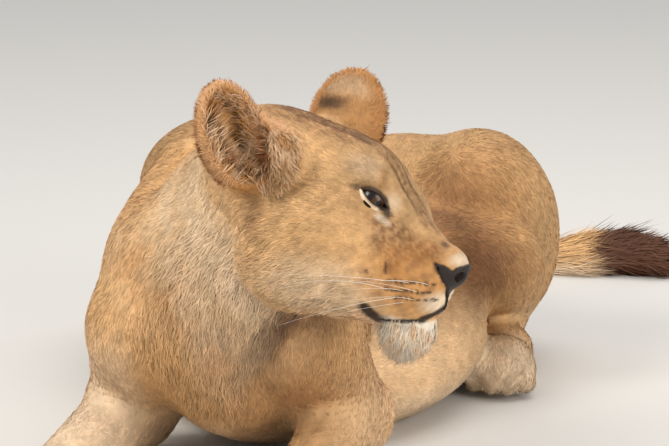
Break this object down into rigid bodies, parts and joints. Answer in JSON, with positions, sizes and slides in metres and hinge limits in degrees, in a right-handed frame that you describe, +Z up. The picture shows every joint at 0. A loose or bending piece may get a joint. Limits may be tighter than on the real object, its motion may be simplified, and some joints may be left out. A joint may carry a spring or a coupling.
{
  "type": "lioness, lying, life-size still model",
  "caption": "Life-size still model of a lioness lying on her breast with her head turned to her left and her tail laid on the floor behind.",
  "frame": {"origin": "middle of the footprint's bounding box, on the floor she lies on", "axes": "+Z up; she faces -Y, her tail end is towards +Y and her left side is +X"},
  "size_m": [0.7369, 1.8333, 0.6046],
  "materials": {
    "coat_tawny": "short, flat, sandy tawny hair in fine tufts, soft and not glossy",
    "coat_cream": "cream to white hair, longer on the chin and between the toes",
    "coat_rufous": "orange-brown hair with cream tufts inside and a dark patch behind",
    "tuft_brown": "longer coarse dark red-brown hair in locks",
    "nose_leather": "bare dark pebbled skin, slightly damp",
    "eye_glass": "wet glossy dark amber eye with a round black pupil"
  },
  "bodies": {
    "root": {"head": "coat_tawny", "lower_jaw": "coat_cream", "nose": "nose_leather", "eye_left": "eye_glass", "eye_right": "eye_glass", "ear_left": "coat_rufous", "ear_right": "coat_rufous", "neck": "coat_tawny", "chest": "coat_tawny", "belly": "coat_tawny", "rump": "coat_tawny", "upper_arm_left": "coat_tawny", "upper_arm_right": "coat_tawny", "forearm_left": "coat_tawny", "forearm_right": "coat_tawny", "forepaw_left": "coat_cream", "forepaw_right": "coat_cream", "thigh_left": "coat_tawny", "thigh_right": "coat_tawny", "shank_left": "coat_tawny", "shank_right": "coat_tawny", "hind_foot_left": "coat_cream", "hind_foot_right": "coat_cream", "tail_root": "coat_tawny", "tail_upper": "coat_tawny", "tail_lower": "coat_tawny", "tail_tuft": "tuft_brown"}
  },
  "joints": []
}
